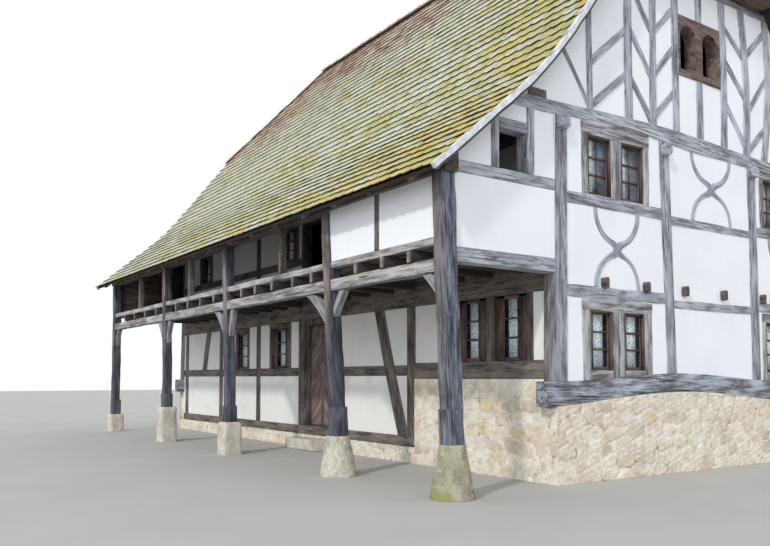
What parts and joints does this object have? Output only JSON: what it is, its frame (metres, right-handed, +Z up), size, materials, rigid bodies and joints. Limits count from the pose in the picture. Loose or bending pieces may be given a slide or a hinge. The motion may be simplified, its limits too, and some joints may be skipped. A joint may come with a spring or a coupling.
{
  "type": "half timbered house",
  "caption": "Half-timbered house with white plaster panels, a timber gallery over an open porch, half-hipped tiled roof and a front door that opens.",
  "frame": {"origin": "on the ground, below the middle of the roof's length and width", "axes": "+X along the ridge towards the carved gable, -Y towards the gallery, +Z up"},
  "size_m": [13.6, 10.26, 9.3503],
  "materials": {
    "weathered_oak": "silver grey, cracked and rough sawn",
    "sheltered_oak": "grey brown, dry",
    "roof_timber": "dark, unplaned",
    "floor_boards": "worn boards",
    "door_boards": "dry boards in a chevron",
    "brown_boards": "brown, weathered",
    "sash_paint": "brown stained",
    "lime_plaster": "matt limewash",
    "rubble_stone": "rough stone in mortar",
    "cut_stone": "tooled stone, mossy foot",
    "roof_tiles": "clay tiles under lichen and moss",
    "ridge_mortar": "mortared ridge tiles",
    "verge_mortar": "pale verge",
    "forged_iron": "black, forged",
    "window_glass": "old clear panes"
  },
  "bodies": {
    "house": {"plinth": "rubble_stone", "post_stones": "cut_stone", "door_step": "cut_stone", "sill_logs": "weathered_oak", "gable_posts": "weathered_oak", "gable_rails": "weathered_oak", "window_frames": "weathered_oak", "tie_beams": "weathered_oak", "gable_studs": "weathered_oak", "gable_braces": "weathered_oak", "gable_ornaments": "weathered_oak", "gable_plaster": "lime_plaster", "window_sashes": "sash_paint", "window_glass": "window_glass", "arched_windows": "weathered_oak", "gallery_posts": "sheltered_oak", "gallery_studs": "sheltered_oak", "gallery_beams": "weathered_oak", "gallery_joists": "sheltered_oak", "gallery_rails": "weathered_oak", "gallery_floor": "floor_boards", "knee_braces": "sheltered_oak", "gallery_panels": "lime_plaster", "end_boards": "floor_boards", "porch_end_frame": "weathered_oak", "wall_posts": "sheltered_oak", "wall_rails": "sheltered_oak", "wall_beams": "sheltered_oak", "wall_plaster": "lime_plaster", "door_frame": "sheltered_oak", "ground_floor": "floor_boards", "floor_joists": "roof_timber", "upper_floor": "floor_boards", "attic_floor": "floor_boards", "roof_plates": "roof_timber", "rafters": "roof_timber", "sprockets": "roof_timber", "fascias": "brown_boards", "verge_boards": "verge_mortar", "hip_soffits": "roof_timber", "roof_front": "roof_tiles", "roof_rear": "roof_tiles", "half_hips": "roof_tiles", "ridge_tiles": "ridge_mortar"},
    "door": {"door_leaf": "door_boards", "door_straps": "forged_iron"}
  },
  "joints": [
    {"name": "front_door_hinge", "type": "hinge", "parent": "house", "child": "door", "pos_m": [0.064, -2.801, 0.66], "axis": [0, 0, 1], "range_deg": [0, 95]}
  ]
}
